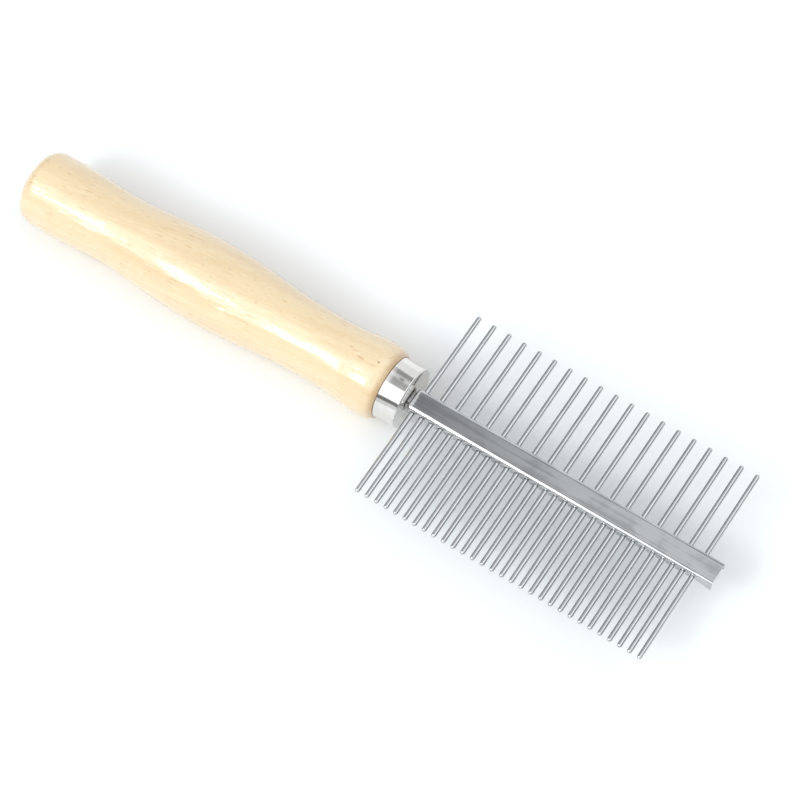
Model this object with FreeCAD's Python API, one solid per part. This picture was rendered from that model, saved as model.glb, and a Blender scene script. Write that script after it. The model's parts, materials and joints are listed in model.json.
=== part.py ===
"""Double-sided steel grooming comb with a turned wooden handle.

Units are millimetres. The handle's axis is X and the comb points towards +X.
The two rows of teeth lie in the plane Z = 0, the coarse row on +Y and the fine
row on -Y, and the flat top of the spine faces +Z. The origin is on the handle's
axis, halfway between the butt of the handle and the free end of the spine.
"""
import FreeCAD, Part
import math
import os

from FreeCAD import Vector

# ---- Teeth -------------------------------------------------------------------
FINE_TEETH = 30
COARSE_TEETH = 19
FINE_PITCH = 3.0
TOOTH_DIAMETER = 1.45
TOOTH_REACH = 30.6            # centre line of the comb to the tip of a tooth
TOOTH_SEAT = 0.6              # centre line to the flat root of a tooth
SEAT_CLEARANCE = 0.02         # radial, between a tooth and its hole

# ---- Spine: a folded sheet channel over a solid bar ----------------------------
SPINE_WIDTH = 7.1
SPINE_HEIGHT = 4.0
SHEET = 0.6
BACK_FOLD_RADIUS = 1.5        # outside radius of the two top folds, closed end
FRONT_FOLD_RADIUS = 0.9       # and at the free end, where they are sharper
TAPER_START = 2.0             # closed end to where the folds begin to sharpen
CURL_RADIUS = 1.0             # outside radius where the tabs turn under the bar
TAB_REACH = 0.7               # straight part of a tab, under the bar
BACK_EDGE_RADIUS = 0.8        # rounding of the closed end beside the ferrule
NOTCH_DIAMETER = 1.85         # clearance notch in the channel round each tooth
BACK_MARGIN = 1.95            # closed end of the channel to the first tooth
FRONT_MARGIN = 5.65           # last tooth to the free end of the channel
FLARE_START = 1.3             # last tooth to where the sides start to open out
FLARE_LENGTH = 3.2
FLARE_ANGLE = 6.0             # degrees that the open sides lean outwards
OPEN_CURL_ANGLE = 10.0        # degrees of curl left in the open sides
FLARE_STATIONS = 5

# ---- Bar and tang --------------------------------------------------------------
BAR_CLEARANCE = 0.05          # at each side of the bar, inside the channel
BAR_FRONT_RECESS = 2.4        # free end of the channel to the end of the bar
TANG_WIDTH = 3.0
TANG_THICKNESS = 1.6
TANG_LENGTH = 46.0            # from the back of the channel into the handle
TANG_POINT = 4.0
TANG_CLEARANCE = 0.05
PILOT_HOLE_DIAMETER = 3.5
PILOT_HOLE_SPARE = 1.5        # empty hole left past the tang's point

# ---- Ferrule: a drawn cup pressed over the handle's spigot ----------------------
FERRULE_LENGTH = 6.8
FERRULE_GAP = 0.4             # front face to the closed end of the channel
FERRULE_FACE = 0.6            # thickness of the front face
FERRULE_BACK_RADIUS = 9.05
FERRULE_WAIST_RADIUS = 8.75
FERRULE_RIM_RADIUS = 9.0
FERRULE_RIM_ROUNDING = 0.4
FERRULE_BORE_RADIUS = 8.2
FERRULE_LIP_ROUNDING = 0.2

# ---- Handle ---------------------------------------------------------------------
HANDLE_LENGTH = 117.7         # butt to the shoulder that the ferrule meets
BUTT_CROWN_DEPTH = 0.5        # rise of the end's shallow crown
BUTT_CROWN_RADIUS = 6.6       # where the crown meets the rounded corner
# Distance from the butt, and radius: bulge, waist, belly, waist and front swell.
HANDLE_OUTLINE = [
    (4.5, 10.95),
    (11.5, 11.0),
    (28.5, 10.3),
    (43.0, 11.3),
    (59.5, 11.9),
    (73.5, 11.2),
    (82.5, 10.25),
    (95.5, 9.8),
    (104.5, 10.1),
    (113.8, 10.95),
]
SHOULDER_RADIUS = 9.5

# ---- Stations along X -------------------------------------------------------------
ROW_LENGTH = (FINE_TEETH - 1) * FINE_PITCH
COARSE_PITCH = ROW_LENGTH / (COARSE_TEETH - 1)
SPINE_LENGTH = BACK_MARGIN + ROW_LENGTH + FRONT_MARGIN
OVERALL_LENGTH = HANDLE_LENGTH + FERRULE_LENGTH + FERRULE_GAP + SPINE_LENGTH
BUTT_X = -OVERALL_LENGTH / 2
SHOULDER_X = BUTT_X + HANDLE_LENGTH
FERRULE_FRONT_X = SHOULDER_X + FERRULE_LENGTH
SPINE_BACK_X = FERRULE_FRONT_X + FERRULE_GAP
FIRST_TOOTH_X = SPINE_BACK_X + BACK_MARGIN
LAST_TOOTH_X = FIRST_TOOTH_X + ROW_LENGTH
SPINE_FRONT_X = LAST_TOOTH_X + FRONT_MARGIN

X_AXIS = Vector(1, 0, 0)
Y_AXIS = Vector(0, 1, 0)
ORIGIN = Vector(0, 0, 0)
EDGE_TOLERANCE = 1e-6
CUTTER_OVERRUN = 1.0          # how far a cutter passes the faces that it cuts


def line(a, b):
    return Part.LineSegment(a, b).toShape()


def arc(a, middle, b):
    return Part.Arc(a, middle, b).toShape()


def corner_arc(level, end):
    """The arc in the XZ plane that leaves level along X and comes down to end."""
    run, drop = end.x - level.x, level.z - end.z
    radius = (run * run + drop * drop) / (2 * drop)
    half_turn = math.asin(run / radius) / 2
    middle = Vector(
        level.x + radius * math.sin(half_turn), 0, level.z - radius * (1 - math.cos(half_turn))
    )
    return arc(level, middle, end)


def revolve(edges, centre, axis):
    """Turn a closed half outline into a solid of revolution."""
    wire = Part.Wire(Part.__sortEdges__(edges))
    return Part.Face(wire).revolve(centre, axis, 360)


def box(x_range, y_range, z_range):
    """A box from its lowest to its highest coordinate on each axis."""
    (x0, x1), (y0, y1), (z0, z1) = x_range, y_range, z_range
    return Part.makeBox(x1 - x0, y1 - y0, z1 - z0, Vector(x0, y0, z0))


def outline_point(station, radius):
    """A point of the handle's outline, in the XZ plane."""
    return Vector(BUTT_X + station, 0, radius)


def make_handle():
    """Turned beech: crowned butt, shaped grip, spigot and pilot hole."""
    butt = outline_point(0, 0)
    crown_mid = outline_point(BUTT_CROWN_DEPTH / 4, BUTT_CROWN_RADIUS / 2)
    crown_end = outline_point(BUTT_CROWN_DEPTH, BUTT_CROWN_RADIUS)
    grip_points = [outline_point(*point) for point in HANDLE_OUTLINE]
    grip = Part.BSplineCurve()
    grip.interpolate(Points=grip_points, InitialTangent=X_AXIS, FinalTangent=X_AXIS)
    shoulder = outline_point(HANDLE_LENGTH, SHOULDER_RADIUS)
    spigot_root = outline_point(HANDLE_LENGTH, FERRULE_BORE_RADIUS)
    spigot_end_x = FERRULE_FRONT_X - FERRULE_FACE
    spigot_rim = Vector(spigot_end_x, 0, FERRULE_BORE_RADIUS)
    spigot_end = Vector(spigot_end_x, 0, 0)
    blank = revolve(
        [
            arc(butt, crown_mid, crown_end),
            corner_arc(grip_points[0], crown_end),
            grip.toShape(),
            corner_arc(grip_points[-1], shoulder),
            line(shoulder, spigot_root),
            line(spigot_root, spigot_rim),
            line(spigot_rim, spigot_end),
            line(spigot_end, butt),
        ],
        ORIGIN,
        X_AXIS,
    )
    hole_start_x = SPINE_BACK_X - TANG_LENGTH - PILOT_HOLE_SPARE
    hole = Part.makeCylinder(
        PILOT_HOLE_DIAMETER / 2, spigot_end_x - hole_start_x, Vector(hole_start_x, 0, 0), X_AXIS
    )
    return blank.cut(hole)


def make_ferrule():
    """Drawn steel cup with a waisted wall and a slot for the tang."""
    back_x, front_x = SHOULDER_X, FERRULE_FRONT_X
    rim_x = front_x - FERRULE_RIM_ROUNDING
    face_radius = FERRULE_RIM_RADIUS - FERRULE_RIM_ROUNDING
    diagonal = FERRULE_RIM_ROUNDING * math.sqrt(0.5)
    lip = FERRULE_LIP_ROUNDING
    lip_diagonal = lip * (1 - math.sqrt(0.5))
    waist_x = (back_x + rim_x) / 2
    inside_x = front_x - FERRULE_FACE
    points = {
        "bore": Vector(back_x, 0, FERRULE_BORE_RADIUS),
        "lip_inner": Vector(back_x, 0, FERRULE_BACK_RADIUS - lip),
        "lip_outer": Vector(back_x + lip, 0, FERRULE_BACK_RADIUS),
        "waist": Vector(waist_x, 0, FERRULE_WAIST_RADIUS),
        "rim": Vector(rim_x, 0, FERRULE_RIM_RADIUS),
        "face": Vector(front_x, 0, face_radius),
        "face_centre": Vector(front_x, 0, 0),
        "inside_centre": Vector(inside_x, 0, 0),
        "inside_rim": Vector(inside_x, 0, FERRULE_BORE_RADIUS),
    }
    lip_mid = Vector(back_x + lip_diagonal, 0, FERRULE_BACK_RADIUS - lip_diagonal)
    rim_mid = Vector(rim_x + diagonal, 0, face_radius + diagonal)
    cup = revolve(
        [
            line(points["bore"], points["lip_inner"]),
            arc(points["lip_inner"], lip_mid, points["lip_outer"]),
            arc(points["lip_outer"], points["waist"], points["rim"]),
            arc(points["rim"], rim_mid, points["face"]),
            line(points["face"], points["face_centre"]),
            line(points["face_centre"], points["inside_centre"]),
            line(points["inside_centre"], points["inside_rim"]),
            line(points["inside_rim"], points["bore"]),
        ],
        ORIGIN,
        X_AXIS,
    )
    return cup.cut(tang_slot(inside_x, front_x))


def tang_slot(back_x, front_x):
    """The cutter for the slot that the tang passes through, in a wall between two faces."""
    x_range = (back_x - CUTTER_OVERRUN, front_x + CUTTER_OVERRUN)
    half_width = TANG_WIDTH / 2 + TANG_CLEARANCE
    half_thickness = TANG_THICKNESS / 2 + TANG_CLEARANCE
    return box(x_range, (-half_width, half_width), (-half_thickness, half_thickness))


def fold_radius(x):
    """Outside radius of the top folds, which sharpen evenly towards the free end."""
    taper_x = SPINE_BACK_X + TAPER_START
    share = max(0.0, (x - taper_x) / (SPINE_FRONT_X - taper_x))
    return BACK_FOLD_RADIUS + share * (FRONT_FOLD_RADIUS - BACK_FOLD_RADIUS)


def half_flat_width(x):
    """How far from the centre line the flat top ends and the fold begins."""
    return SPINE_WIDTH / 2 - fold_radius(x)


def sheet_side(x, fold_angle, curl_angle, depth):
    """Corner and middle points down the +Y side of the channel, for one face.

    depth is 0 for the outside face of the sheet and SHEET for the inside face.
    The path runs round the fold, down the side, round the curl and along the
    tab, so the sheet keeps its length as it opens out.
    """
    fold = fold_radius(x)
    side = SPINE_HEIGHT - fold - CURL_RADIUS
    y, z, heading = half_flat_width(x), SPINE_HEIGHT / 2 - depth, 0.0
    points = [Vector(x, y, z)]
    steps = [
        (0, fold - depth, fold_angle),
        (side, 0, 0),
        (0, CURL_RADIUS - depth, curl_angle),
        (TAB_REACH, 0, 0),
    ]
    for run, radius, turn in steps:
        if run:
            y += run * math.cos(heading)
            z -= run * math.sin(heading)
            points.append(Vector(x, y, z))
            continue
        centre_y = y - radius * math.sin(heading)
        centre_z = z - radius * math.cos(heading)
        start = heading
        for share in (0.5, 1.0):
            heading = start + share * math.radians(turn)
            y = centre_y + radius * math.sin(heading)
            z = centre_z + radius * math.cos(heading)
            points.append(Vector(x, y, z))
    return points


def side_section(x, side, fold_angle=90.0, curl_angle=90.0):
    """The closed outline of one folded side of the channel at x; side is 1 or -1."""

    def face_edges(points):
        fold_start, fold_mid, fold_end, curl_start, curl_mid, curl_end, tip = points
        return [
            arc(fold_start, fold_mid, fold_end),
            line(fold_end, curl_start),
            arc(curl_start, curl_mid, curl_end),
            line(curl_end, tip),
        ]

    faces = []
    for depth in (0, SHEET):
        points = sheet_side(x, fold_angle, curl_angle, depth)
        faces.append([Vector(p.x, side * p.y, p.z) for p in points])
    outside, inside = faces
    edges = face_edges(outside) + face_edges(inside)
    edges += [line(outside[-1], inside[-1]), line(outside[0], inside[0])]
    return Part.Wire(Part.__sortEdges__(edges))


def make_notch(x, side):
    """Cutter for the notch that a tooth leaves the channel through."""
    radius = NOTCH_DIAMETER / 2
    depth = SPINE_WIDTH / 2 + CUTTER_OVERRUN
    round_top = Part.makeCylinder(radius, depth, Vector(x, 0, 0), Vector(0, side, 0))
    y_range = (0, depth) if side > 0 else (-depth, 0)
    slot = box((x - radius, x + radius), y_range, (-SPINE_HEIGHT, 0))
    return round_top.fuse(slot)


def make_closed_end():
    """The first stretch of the channel, with the wall that closes it at the ferrule."""
    half_top = half_flat_width(SPINE_BACK_X)
    half_inside = SPINE_WIDTH / 2 - SHEET
    top_z = SPINE_HEIGHT / 2
    inside_z = top_z - SHEET
    x_range = (SPINE_BACK_X, SPINE_BACK_X + TAPER_START)
    wall_range = (SPINE_BACK_X, SPINE_BACK_X + SHEET)
    top = box(x_range, (-half_top, half_top), (inside_z, top_z))
    others = [box(wall_range, (-half_inside, half_inside), (-inside_z, inside_z))]
    for side in (1, -1):
        section = side_section(SPINE_BACK_X, side)
        others.append(Part.Face(section).extrude(Vector(TAPER_START, 0, 0)))
    return top.fuse(others).removeSplitter().common(rounded_end_envelope())


def make_long_side(side):
    """One folded side from the closed end to the free end, where it opens out."""
    taper_x = SPINE_BACK_X + TAPER_START
    flare_x = LAST_TOOTH_X + FLARE_START
    ends = [side_section(taper_x, side), side_section(flare_x, side)]
    straight = Part.makeLoft(ends, True, True)
    sections = []
    for index in range(FLARE_STATIONS):
        share = index / (FLARE_STATIONS - 1)
        ease = share * share * (3 - 2 * share)
        fold_angle = 90 - FLARE_ANGLE * ease
        curl_angle = 90 - (90 - OPEN_CURL_ANGLE) * ease
        x = flare_x + FLARE_LENGTH * share
        sections.append(side_section(x, side, fold_angle, curl_angle))
    flare = Part.makeLoft(sections, True, False)
    open_section = side_section(SPINE_FRONT_X, side, 90 - FLARE_ANGLE, OPEN_CURL_ANGLE)
    open_end = Part.makeLoft([sections[-1], open_section], True, True)
    return straight.fuse([flare, open_end])


def make_spine_cover():
    """Folded sheet channel, closed at the ferrule and open at the free end."""
    taper_x = SPINE_BACK_X + TAPER_START
    half_back = half_flat_width(taper_x)
    half_front = half_flat_width(SPINE_FRONT_X)
    top_z = SPINE_HEIGHT / 2
    corners = [
        Vector(taper_x, -half_back, top_z),
        Vector(taper_x, half_back, top_z),
        Vector(SPINE_FRONT_X, half_front, top_z),
        Vector(SPINE_FRONT_X, -half_front, top_z),
    ]
    outline = Part.makePolygon(corners + corners[:1])
    top = Part.Face(outline).extrude(Vector(0, 0, -SHEET))
    cover = top.fuse([make_closed_end(), make_long_side(1), make_long_side(-1)])
    notches = [make_notch(x, -1) for x in fine_stations()]
    notches += [make_notch(x, 1) for x in coarse_stations()]
    cover = cover.cut(notches)
    return cover.cut(tang_slot(SPINE_BACK_X, SPINE_BACK_X + SHEET))


def rounded_end_envelope():
    """A block round the closed end, rounded along its top and its back edges."""
    half_width = SPINE_WIDTH / 2
    block = box(
        (SPINE_BACK_X, SPINE_BACK_X + TAPER_START),
        (-half_width, half_width),
        (-SPINE_HEIGHT, SPINE_HEIGHT / 2),
    )
    top_edges = [e for e in block.Edges if runs_along_x(e) and e.BoundBox.ZMin > 0]
    block = block.makeFillet(BACK_FOLD_RADIUS, top_edges)
    end_edges = [
        e
        for e in block.Edges
        if abs(e.BoundBox.XMax - SPINE_BACK_X) < EDGE_TOLERANCE and e.BoundBox.ZMax > 0
    ]
    return block.makeFillet(BACK_EDGE_RADIUS, end_edges)


def runs_along_x(edge):
    return edge.BoundBox.YLength < EDGE_TOLERANCE and edge.BoundBox.ZLength < EDGE_TOLERANCE


def make_core_bar():
    """Solid bar inside the channel, drilled for the teeth, with its tang."""
    half_width = SPINE_WIDTH / 2 - SHEET - BAR_CLEARANCE
    half_height = SPINE_HEIGHT / 2 - SHEET
    bar = box(
        (SPINE_BACK_X + SHEET, SPINE_FRONT_X - BAR_FRONT_RECESS),
        (-half_width, half_width),
        (-half_height, half_height),
    )
    long_edges = [e for e in bar.Edges if runs_along_x(e)]
    top_edges = [e for e in long_edges if e.BoundBox.ZMin > 0]
    bottom_edges = [e for e in long_edges if e.BoundBox.ZMin < 0]
    bar = bar.makeFillet(BACK_FOLD_RADIUS - SHEET, top_edges)
    bar = bar.makeFillet(CURL_RADIUS - SHEET, bottom_edges)
    root_x = SPINE_BACK_X + SHEET
    point_x = SPINE_BACK_X - TANG_LENGTH
    half_tang = TANG_WIDTH / 2
    bottom = -TANG_THICKNESS / 2
    corners = [
        (root_x, -half_tang),
        (root_x, half_tang),
        (point_x + TANG_POINT, half_tang),
        (point_x, 0),
        (point_x + TANG_POINT, -half_tang),
    ]
    outline = Part.makePolygon([Vector(x, y, bottom) for x, y in corners + corners[:1]])
    tang = Part.Face(outline).extrude(Vector(0, 0, TANG_THICKNESS))
    seats = [make_seat(x, -1) for x in fine_stations()]
    seats += [make_seat(x, 1) for x in coarse_stations()]
    return bar.fuse(tang).removeSplitter().cut(seats)


def make_seat(x, side):
    """Cutter for the blind hole that holds the root of a tooth."""
    radius = TOOTH_DIAMETER / 2 + SEAT_CLEARANCE
    start = Vector(x, side * TOOTH_SEAT, 0)
    return Part.makeCylinder(radius, SPINE_WIDTH, start, Vector(0, side, 0))


def make_tooth(x, side):
    """A straight round pin with a rounded tip."""
    radius = TOOTH_DIAMETER / 2
    diagonal = radius * math.sqrt(0.5)
    root = Vector(x, TOOTH_SEAT, 0)
    root_rim = Vector(x + radius, TOOTH_SEAT, 0)
    tip_start_y = TOOTH_REACH - radius
    tip_start = Vector(x + radius, tip_start_y, 0)
    tip_mid = Vector(x + diagonal, tip_start_y + diagonal, 0)
    tip = Vector(x, TOOTH_REACH, 0)
    pin = revolve(
        [
            line(root, root_rim),
            line(root_rim, tip_start),
            arc(tip_start, tip_mid, tip),
            line(tip, root),
        ],
        Vector(x, 0, 0),
        Y_AXIS,
    )
    if side < 0:
        pin = pin.mirror(ORIGIN, Y_AXIS)
    return pin


def fine_stations():
    return [FIRST_TOOTH_X + index * FINE_PITCH for index in range(FINE_TEETH)]


def coarse_stations():
    return [FIRST_TOOTH_X + index * COARSE_PITCH for index in range(COARSE_TEETH)]


def build():
    """Every piece of the comb, by name."""
    pieces = {
        "handle": make_handle(),
        "ferrule": make_ferrule(),
        "core_bar": make_core_bar(),
        "spine_cover": make_spine_cover(),
    }
    for number, x in enumerate(fine_stations(), start=1):
        pieces[f"fine_tooth_{number:02d}"] = make_tooth(x, -1)
    for number, x in enumerate(coarse_stations(), start=1):
        pieces[f"coarse_tooth_{number:02d}"] = make_tooth(x, 1)
    return pieces


os.makedirs("parts", exist_ok=True)
for name, shape in build().items():
    if not shape.isValid() or len(shape.Solids) != 1:
        raise ValueError(f"{name} is not one valid solid")
    shape.exportStep(f"parts/{name}.step")
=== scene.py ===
"""Looks, light and camera for the double-sided grooming comb.

Lengths are metres unless a name says mm. The comb keeps the frame it was packed
in: X along the handle towards the free end, coarse teeth on +Y, fine teeth on
-Y, and the flat top of the spine up.
"""

import json
import math

import bpy
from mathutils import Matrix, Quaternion, Vector


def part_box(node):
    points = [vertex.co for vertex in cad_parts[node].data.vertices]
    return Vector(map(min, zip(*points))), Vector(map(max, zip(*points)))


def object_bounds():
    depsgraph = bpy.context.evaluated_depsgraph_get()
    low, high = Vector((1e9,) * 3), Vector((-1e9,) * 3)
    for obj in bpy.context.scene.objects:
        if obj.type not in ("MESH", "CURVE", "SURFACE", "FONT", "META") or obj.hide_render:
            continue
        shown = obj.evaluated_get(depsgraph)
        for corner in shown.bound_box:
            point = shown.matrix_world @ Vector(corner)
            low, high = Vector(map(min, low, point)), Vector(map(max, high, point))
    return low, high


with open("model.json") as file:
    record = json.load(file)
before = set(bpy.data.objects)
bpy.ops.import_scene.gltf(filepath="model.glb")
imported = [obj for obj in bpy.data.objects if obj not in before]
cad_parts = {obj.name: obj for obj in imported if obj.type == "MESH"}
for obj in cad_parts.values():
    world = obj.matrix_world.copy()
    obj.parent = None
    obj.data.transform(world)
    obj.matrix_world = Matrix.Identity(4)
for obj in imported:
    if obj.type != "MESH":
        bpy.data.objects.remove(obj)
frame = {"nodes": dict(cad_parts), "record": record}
CAD_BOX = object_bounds()
NODES = frame["nodes"]

MM = 0.001
MM_PER_METRE = 1000.0

# ---- Camera: where it stands, what it looks at, and how it is tipped ----------
CAMERA_PLACE = Vector((0.21717, -0.28176, 0.74143))
CAMERA_AIM = Vector((0.01223, -0.00187, 0.0))
CAMERA_ROLL = -3.42                 # degrees, clockwise from behind the camera
CAMERA_LENS_MM = 137.5
CAMERA_SENSOR_MM = 36.0

# ---- Studio ---------------------------------------------------------------------
FLOOR_HALF_SIZE = 6.0
FLOOR_CLEARANCE = 0.02 * MM
FLOOR_COLOUR = (0.93, 0.93, 0.93)   # linear colours
FLOOR_SHADE = (0.92, 0.92, 0.92)
KEY_PLACE = Vector((-0.8, -1.68, 1.72))
KEY_SIZE = (0.75, 0.70)             # metres, across and up
KEY_RADIANCE = 8.8                  # what a mirror facing the softbox shows
KEY_TINT = (0.92, 1.03, 1.07)
STUDIO_TINT = (0.965, 1.0, 1.03)    # a little cooler than white
# Radiance of the studio along an arch over the comb, from front to back: the
# angle is in degrees back from overhead.
STUDIO_ARCH = (
    (-90, 0.80),
    (-77, 0.80),
    (-74, 0.22),
    (-64, 0.22),
    (-58, 2.10),
    (-18, 2.10),
    (-6, 0.50),
    (12, 0.45),
    (20, 0.80),
    (28, 0.72),
    (38, 0.36),
    (48, 0.36),
    (57, 0.95),
    (90, 0.95),
)
CEILING_RIGHT = 1.3                 # radiance overhead, right of the comb
FLANKS = 0.10                       # radiance of the dark room to the left and right
DARK_PATCH_DIRECTION = Vector((-0.30, 0.36, 0.88))  # dark spot mirrored by the spine's back end
DARK_PATCH_RADIANCE = 0.2

# ---- Wood -----------------------------------------------------------------------
BEECH_PALE = (0.88, 0.69, 0.43)     # linear colours
BEECH_DEEP = (0.84, 0.62, 0.375)
RING_COLOUR = (0.76, 0.52, 0.26)
FIBRE_COLOUR = (0.76, 0.53, 0.28)
MOTTLE_COLOUR = (0.93, 0.80, 0.58)
LONG_LINE_COLOUR = (0.60, 0.31, 0.11)
FLECK_COLOUR = (0.55, 0.33, 0.15)
END_GRAIN_COLOUR = (0.50, 0.29, 0.12)
SPECK_COLOUR = (0.10, 0.07, 0.05)
SPECK_PLACE_MM = Vector((4.45, 0.25, 10.9))
HEART_Y_MM = 55.0                   # how far the tree's heart lies from the handle's axis
HEART_Z_MM = 38.0
RING_SPACING_MM = 3.4
COAT_RIPPLE = 0.08 * MM             # height of the lacquer's fine unevenness
COAT_WAVE = 0.50 * MM               # and of its slow waves
WOOD_RELIEF = 0.03 * MM             # height of the fibres under it

# ---- Metal ----------------------------------------------------------------------
BAND_SCALE = 0.4                    # broad bands in the plating, to its fine drawn lines


class Graph:
    """A material's or world's node tree, with one short call for each node."""

    def __init__(self, tree):
        self.tree = tree
        self.tree.nodes.clear()

    def node(self, kind, **settings):
        made = self.tree.nodes.new(kind)
        for name, value in settings.items():
            setattr(made, name, value)
        return made

    def plug(self, target, value):
        """Link a socket, or set a plain value."""
        if isinstance(value, bpy.types.NodeSocket):
            self.tree.links.new(value, target)
        else:
            target.default_value = value

    def maths(self, operation, a, b=0.0, c=0.0, clamp=False):
        made = self.node("ShaderNodeMath", operation=operation, use_clamp=clamp)
        for socket, value in zip(made.inputs, (a, b, c)):
            self.plug(socket, value)
        return made.outputs[0]

    def distance(self, a, b):
        made = self.node("ShaderNodeVectorMath", operation="DISTANCE")
        self.plug(made.inputs[0], a)
        self.plug(made.inputs[1], b)
        return made.outputs["Value"]

    def length_of(self, a):
        made = self.node("ShaderNodeVectorMath", operation="LENGTH")
        self.plug(made.inputs[0], a)
        return made.outputs["Value"]

    def mapped(self, vector, scale=(1, 1, 1), offset=(0, 0, 0), turn=(0, 0, 0)):
        made = self.node("ShaderNodeMapping")
        self.plug(made.inputs["Vector"], vector)
        made.inputs["Location"].default_value = offset
        made.inputs["Rotation"].default_value = [math.radians(angle) for angle in turn]
        made.inputs["Scale"].default_value = scale
        return made.outputs["Vector"]

    def noise(self, vector, scale=1.0, detail=2.0, roughness=0.5, distortion=0.0):
        made = self.node("ShaderNodeTexNoise")
        self.plug(made.inputs["Vector"], vector)
        made.inputs["Scale"].default_value = scale
        made.inputs["Detail"].default_value = detail
        made.inputs["Roughness"].default_value = roughness
        made.inputs["Distortion"].default_value = distortion
        return made.outputs["Fac"]

    def cells(self, vector):
        """Distance to the nearest of a scatter of points, and that point's own number."""
        made = self.node("ShaderNodeTexVoronoi")
        self.plug(made.inputs["Vector"], vector)
        made.inputs["Scale"].default_value = 1.0
        return made.outputs["Distance"], self.split(made.outputs["Color"])[0]

    def split(self, vector):
        made = self.node("ShaderNodeSeparateXYZ")
        self.plug(made.inputs[0], vector)
        return made.outputs

    def join(self, x, y, z):
        made = self.node("ShaderNodeCombineXYZ")
        for socket, value in zip(made.inputs, (x, y, z)):
            self.plug(socket, value)
        return made.outputs[0]

    def span(self, value, low, high, to_low=0.0, to_high=1.0):
        """A smooth step from one value to another as the input crosses a range."""
        made = self.node("ShaderNodeMapRange", interpolation_type="SMOOTHSTEP")
        self.plug(made.inputs["Value"], value)
        ends = (("From Min", low), ("From Max", high), ("To Min", to_low), ("To Max", to_high))
        for name, end in ends:
            self.plug(made.inputs[name], end)
        return made.outputs["Result"]

    def steps(self, value, stops):
        """A value read off a list of stops, each an input and its result."""
        low, high = stops[0][0], stops[-1][0]
        top = max(result for _, result in stops)
        share = self.node("ShaderNodeMapRange")
        self.plug(share.inputs["Value"], value)
        share.inputs["From Min"].default_value = low
        share.inputs["From Max"].default_value = high
        made = self.node("ShaderNodeValToRGB")
        self.plug(made.inputs["Fac"], share.outputs["Result"])
        ramp = made.color_ramp
        ramp.interpolation = "EASE"
        while len(ramp.elements) < len(stops):
            ramp.elements.new(1.0)
        for element, (place, result) in zip(ramp.elements, stops):
            element.position = (place - low) / (high - low)
            element.color = (*(result / top,) * 3, 1.0)
        return self.maths("MULTIPLY", made.outputs["Color"], top)

    def blend(self, share, a, b):
        """From value a to value b as the share goes from 0 to 1."""
        made = self.node("ShaderNodeMix", data_type="FLOAT", clamp_factor=True)
        self.plug(made.inputs[0], share)
        self.plug(made.inputs[2], a)
        self.plug(made.inputs[3], b)
        return made.outputs[0]

    def mix(self, share, a, b):
        """From colour a to colour b as the share goes from 0 to 1."""
        made = self.node("ShaderNodeMix", data_type="RGBA", clamp_factor=True)
        self.plug(made.inputs["Factor"], share)
        for socket, colour in ((made.inputs[6], a), (made.inputs[7], b)):
            self.plug(socket, (*colour, 1.0) if isinstance(colour, tuple) else colour)
        return made.outputs[2]

    def bump(self, height, depth, normal=None):
        """A bump whose height, from 0 to 1, stands for a depth in metres."""
        made = self.node("ShaderNodeBump")
        made.inputs["Strength"].default_value = 1.0
        made.inputs["Distance"].default_value = depth
        self.plug(made.inputs["Height"], height)
        if normal is not None:
            self.plug(made.inputs["Normal"], normal)
        return made.outputs["Normal"]


def new_material(name):
    """A material, its graph, its shader and the place on the object in millimetres."""
    material = bpy.data.materials.new(name)
    material.use_nodes = True
    graph = Graph(material.node_tree)
    shader = graph.node("ShaderNodeBsdfPrincipled")
    output = graph.node("ShaderNodeOutputMaterial")
    graph.plug(output.inputs["Surface"], shader.outputs["BSDF"])
    coordinates = graph.node("ShaderNodeTexCoord").outputs["Object"]
    place = graph.mapped(coordinates, scale=(MM_PER_METRE,) * 3)
    return material, graph, shader, place


def streaks(graph, grain, cell, width, share, offset):
    """Short thin lines scattered along the grain, from 0 to 1.

    cell is the mean room of one line in millimetres, along and across the grain;
    width is a share of that room, and share is how many cells hold a line.
    """
    along, across = cell
    scale = (1 / along, 1 / across, 1 / across)
    distance, number = graph.cells(graph.mapped(grain, scale=scale, offset=offset))
    near = graph.span(distance, width * 0.4, width, 1.0, 0.0)
    chosen = graph.span(number, 1.0 - share, 1.1 - share)
    return graph.maths("MULTIPLY", near, chosen)


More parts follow.
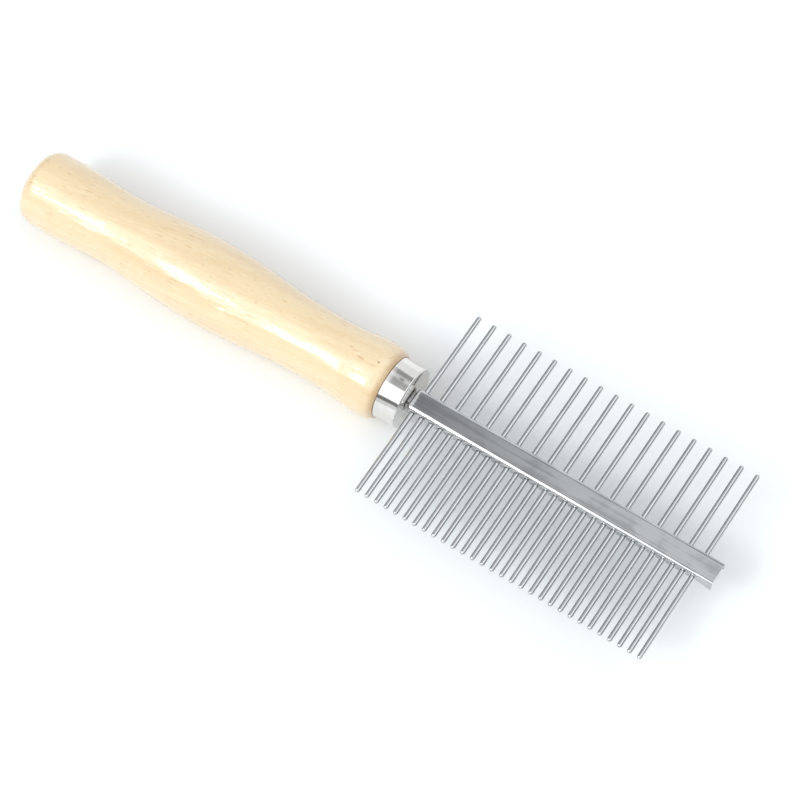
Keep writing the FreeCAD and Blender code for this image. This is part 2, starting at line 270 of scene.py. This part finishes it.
def beech_material():
    """Lacquered beech: soft growth bands, fine streaks along the grain, darker end grain."""
    material, graph, shader, place = new_material("lacquered_beech")
    grain = graph.mapped(place, turn=(0, 2, -6))
    wander = graph.noise(graph.mapped(grain, scale=(0.02, 0.08, 0.08)), detail=2)
    _, y, z = graph.split(grain)

    tint = graph.noise(graph.mapped(grain, scale=(0.014, 0.12, 0.12)), detail=3)
    colour = graph.mix(graph.span(tint, 0.35, 0.7), BEECH_PALE, BEECH_DEEP)

    ring_y = graph.maths("ADD", y, HEART_Y_MM)
    ring_z = graph.maths("ADD", z, HEART_Z_MM)
    ring_distance = graph.length_of(graph.join(0.0, ring_y, ring_z))
    ring_place = graph.maths("MULTIPLY_ADD", wander, 7.0, ring_distance)
    ring_turns = graph.maths("MULTIPLY", ring_place, 2 * math.pi / RING_SPACING_MM)
    ring_wave = graph.maths("SINE", ring_turns)
    ring = graph.span(ring_wave, 0.0, 1.0)
    colour = graph.mix(graph.maths("MULTIPLY", ring, 0.18), colour, RING_COLOUR)

    fibre = graph.noise(graph.mapped(grain, scale=(0.10, 2.2, 2.2)), detail=5, roughness=0.65)
    colour = graph.mix(graph.span(fibre, 0.48, 0.72, 0.0, 0.5), colour, FIBRE_COLOUR)
    mottle = graph.noise(graph.mapped(grain, scale=(0.5, 1.6, 1.6), offset=(9, 2, 4)), detail=3)
    colour = graph.mix(graph.span(mottle, 0.5, 0.75, 0.0, 0.35), colour, MOTTLE_COLOUR)

    band = graph.noise(graph.mapped(grain, scale=(0.035, 0.35, 0.35), offset=(3, 7, 1)), detail=2)
    long_lines = streaks(graph, grain, (8.0, 0.6), 0.30, 0.36, (0, 0, 0))
    long_lines = graph.maths("MULTIPLY", long_lines, graph.span(band, 0.38, 0.62, 0.25, 1.0))
    colour = graph.mix(graph.maths("MULTIPLY", long_lines, 0.75), colour, LONG_LINE_COLOUR)
    flecks = streaks(graph, grain, (3.6, 0.42), 0.26, 0.26, (5, 3, 8))
    colour = graph.mix(graph.maths("MULTIPLY", flecks, 0.6), colour, FLECK_COLOUR)

    shoulder_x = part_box("ferrule")[0].x / MM
    butt_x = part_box("handle")[0].x / MM
    along = graph.split(place)[0]
    front_grain = graph.span(along, shoulder_x - 2.0, shoulder_x, 0.0, 0.65)
    back_grain = graph.span(along, butt_x + 0.2, butt_x + 0.8, 0.12, 0.0)
    end_grain = graph.maths("ADD", front_grain, back_grain)
    colour = graph.mix(end_grain, colour, END_GRAIN_COLOUR)
    speck = graph.distance(place, SPECK_PLACE_MM)
    colour = graph.mix(graph.span(speck, 0.12, 0.40, 0.8, 0.0), colour, SPECK_COLOUR)

    shader.inputs["Roughness"].default_value = 0.45
    graph.plug(shader.inputs["Base Color"], colour)
    shader.inputs["Coat Weight"].default_value = 1.0
    shader.inputs["Coat Roughness"].default_value = 0.07
    shader.inputs["Coat IOR"].default_value = 1.6

    lines = graph.maths("MAXIMUM", long_lines, flecks)
    ripple = graph.noise(graph.mapped(grain, scale=(0.28, 0.9, 0.9)), detail=4, roughness=0.6)
    coat_height = graph.maths("MULTIPLY_ADD", lines, -0.2, ripple)
    wave = graph.noise(graph.mapped(grain, scale=(0.05, 0.26, 0.26), offset=(2, 6, 3)), detail=2)
    coat_normal = graph.bump(coat_height, COAT_RIPPLE, graph.bump(wave, COAT_WAVE))
    graph.plug(shader.inputs["Coat Normal"], coat_normal)
    wood_normal = graph.bump(graph.maths("SUBTRACT", fibre, lines), WOOD_RELIEF)
    graph.plug(shader.inputs["Normal"], wood_normal)
    return material


def plated_material(name, colour, darker, roughness, lines, line_depth):
    """Bright plated steel with fine drawn lines, broad bands and a soft haze.

    lines scales the place in millimetres: small along the drawn lines, large across.
    """
    material, graph, shader, place = new_material(name)
    haze = graph.noise(graph.mapped(place, scale=(0.16, 0.16, 0.16)), detail=3)
    drawn = graph.noise(graph.mapped(place, scale=lines), detail=4, roughness=0.65)
    wide_lines = [scale * BAND_SCALE for scale in lines]
    bands = graph.noise(graph.mapped(place, scale=wide_lines, offset=(4, 1, 7)), detail=3)
    tone = graph.maths("MULTIPLY", graph.maths("ADD", haze, bands), 0.5)
    graph.plug(shader.inputs["Base Color"], graph.mix(graph.span(tone, 0.4, 0.6), colour, darker))
    shader.inputs["Metallic"].default_value = 1.0
    low, high = roughness
    spread = graph.maths("ADD", graph.maths("MULTIPLY", haze, 0.6), graph.maths("MULTIPLY", drawn, 0.4))
    graph.plug(shader.inputs["Roughness"], graph.span(spread, 0.3, 0.7, low, high))
    graph.plug(shader.inputs["Normal"], graph.bump(drawn, line_depth))
    return material


def make_materials():
    return {
        "handle_wood": beech_material(),
        "ferrule_chrome": plated_material(
            "polished_chrome", (0.81, 0.785, 0.755), (0.76, 0.735, 0.70), (0.05, 0.10),
            (2.0, 0.25, 0.25), 0.0006 * MM,
        ),
        "spine_steel": plated_material(
            "bright_sheet", (0.66, 0.665, 0.665), (0.49, 0.495, 0.50), (0.07, 0.14),
            (0.05, 3.0, 3.0), 0.0022 * MM,
        ),
        "tooth_steel": plated_material(
            "bright_wire", (0.66, 0.665, 0.67), (0.60, 0.605, 0.61), (0.10, 0.18),
            (5.0, 0.06, 5.0), 0.0012 * MM,
        ),
        "bar_steel": plated_material(
            "plain_bar", (0.42, 0.42, 0.43), (0.33, 0.33, 0.34), (0.3, 0.45),
            (0.1, 4.0, 4.0), 0.004 * MM,
        ),
    }


def finish_nodes(materials):
    """Give every CAD piece the detailed material of its record slot."""
    slots = {part["node"]: part["material_slot"] for part in frame["record"]["subparts"]}
    for name, piece in NODES.items():
        piece.data.materials.clear()
        piece.data.materials.append(materials[slots[name]])


def make_floor():
    """A large plain floor, pale and matt, level under the lowest point of the comb."""
    material, graph, shader, spot = new_material("pale_floor")
    paper = graph.noise(graph.mapped(spot, scale=(0.02, 0.02, 0.02)), detail=2)
    graph.plug(shader.inputs["Base Color"], graph.mix(paper, FLOOR_COLOUR, FLOOR_SHADE))
    shader.inputs["Roughness"].default_value = 0.9
    shader.inputs["Specular IOR Level"].default_value = 0.0
    half = FLOOR_HALF_SIZE
    height = CAD_BOX[0][2] - FLOOR_CLEARANCE
    corners = [(-half, -half), (half, -half), (half, half), (-half, half)]
    mesh = bpy.data.meshes.new("floor")
    mesh.from_pydata([(x, y, height) for x, y in corners], [], [(0, 1, 2, 3)])
    mesh.materials.append(material)
    floor = bpy.data.objects.new("floor", mesh)
    bpy.context.scene.collection.objects.link(floor)


def make_key():
    """The softbox over the front left, seen as the highlight along the handle."""
    lamp = bpy.data.lights.new("key", "AREA")
    lamp.shape = "RECTANGLE"
    lamp.size, lamp.size_y = KEY_SIZE
    lamp.energy = KEY_RADIANCE * math.pi * lamp.size * lamp.size_y
    lamp.color = KEY_TINT
    light = bpy.data.objects.new("key", lamp)
    light.location = KEY_PLACE
    light.rotation_euler = KEY_PLACE.to_track_quat("Z", "Y").to_euler()
    bpy.context.scene.collection.objects.link(light)


def studio_radiance(graph):
    """How bright the studio is in each direction, as the metal mirrors it.

    The arch gives the stripes on the round parts. Over it lie a bright ceiling on
    the right, dark flanks low on both sides and one dark patch near overhead.
    """
    direction = graph.node("ShaderNodeTexCoord").outputs["Generated"]
    x, y, z = graph.split(direction)
    tilt = graph.maths("ARCTAN2", y, z)
    radiance = graph.steps(graph.maths("DEGREES", tilt), STUDIO_ARCH)
    right = graph.maths("MULTIPLY", graph.span(x, -0.10, 0.15), graph.span(z, 0.42, 0.52))
    radiance = graph.blend(right, radiance, CEILING_RIGHT)
    sideways = graph.span(graph.maths("ABSOLUTE", x), 0.55, 0.75)
    flank = graph.maths("MULTIPLY", sideways, graph.span(z, 0.38, 0.52, 1.0, 0.0))
    radiance = graph.blend(flank, radiance, FLANKS)
    patch = graph.distance(direction, DARK_PATCH_DIRECTION)
    return graph.blend(graph.span(patch, 0.03, 0.15, 1.0, 0.0), radiance, DARK_PATCH_RADIANCE)


def make_room():
    """The studio round the comb, with a plain white backdrop where the camera sees it."""
    world = bpy.data.worlds.new("studio")
    bpy.context.scene.world = world
    world.use_nodes = True
    graph = Graph(world.node_tree)
    radiance = studio_radiance(graph)
    reflected = graph.node("ShaderNodeBackground")
    reflected.inputs["Color"].default_value = (*STUDIO_TINT, 1.0)
    graph.plug(reflected.inputs["Strength"], radiance)
    backdrop = graph.node("ShaderNodeBackground")
    backdrop.inputs["Color"].default_value = (1.0, 1.0, 1.0, 1.0)
    seen = graph.node("ShaderNodeLightPath").outputs["Is Camera Ray"]
    mixed = graph.node("ShaderNodeMixShader")
    graph.plug(mixed.inputs[0], seen)
    graph.plug(mixed.inputs[1], reflected.outputs[0])
    graph.plug(mixed.inputs[2], backdrop.outputs[0])
    output = graph.node("ShaderNodeOutputWorld")
    graph.plug(output.inputs["Surface"], mixed.outputs[0])


def make_camera():
    data = bpy.data.cameras.new("camera")
    data.sensor_width = CAMERA_SENSOR_MM
    data.lens = CAMERA_LENS_MM
    data.clip_start = 0.01
    camera = bpy.data.objects.new("camera", data)
    bpy.context.scene.collection.objects.link(camera)
    look = (CAMERA_AIM - CAMERA_PLACE).to_track_quat("-Z", "Y")
    roll = Quaternion((0, 0, 1), math.radians(CAMERA_ROLL))
    camera.rotation_euler = (look @ roll).to_euler()
    camera.location = CAMERA_PLACE
    bpy.context.scene.camera = camera


make_camera()
finish_nodes(make_materials())
make_floor()
make_key()
make_room()
bpy.context.scene.view_settings.view_transform = "Standard"
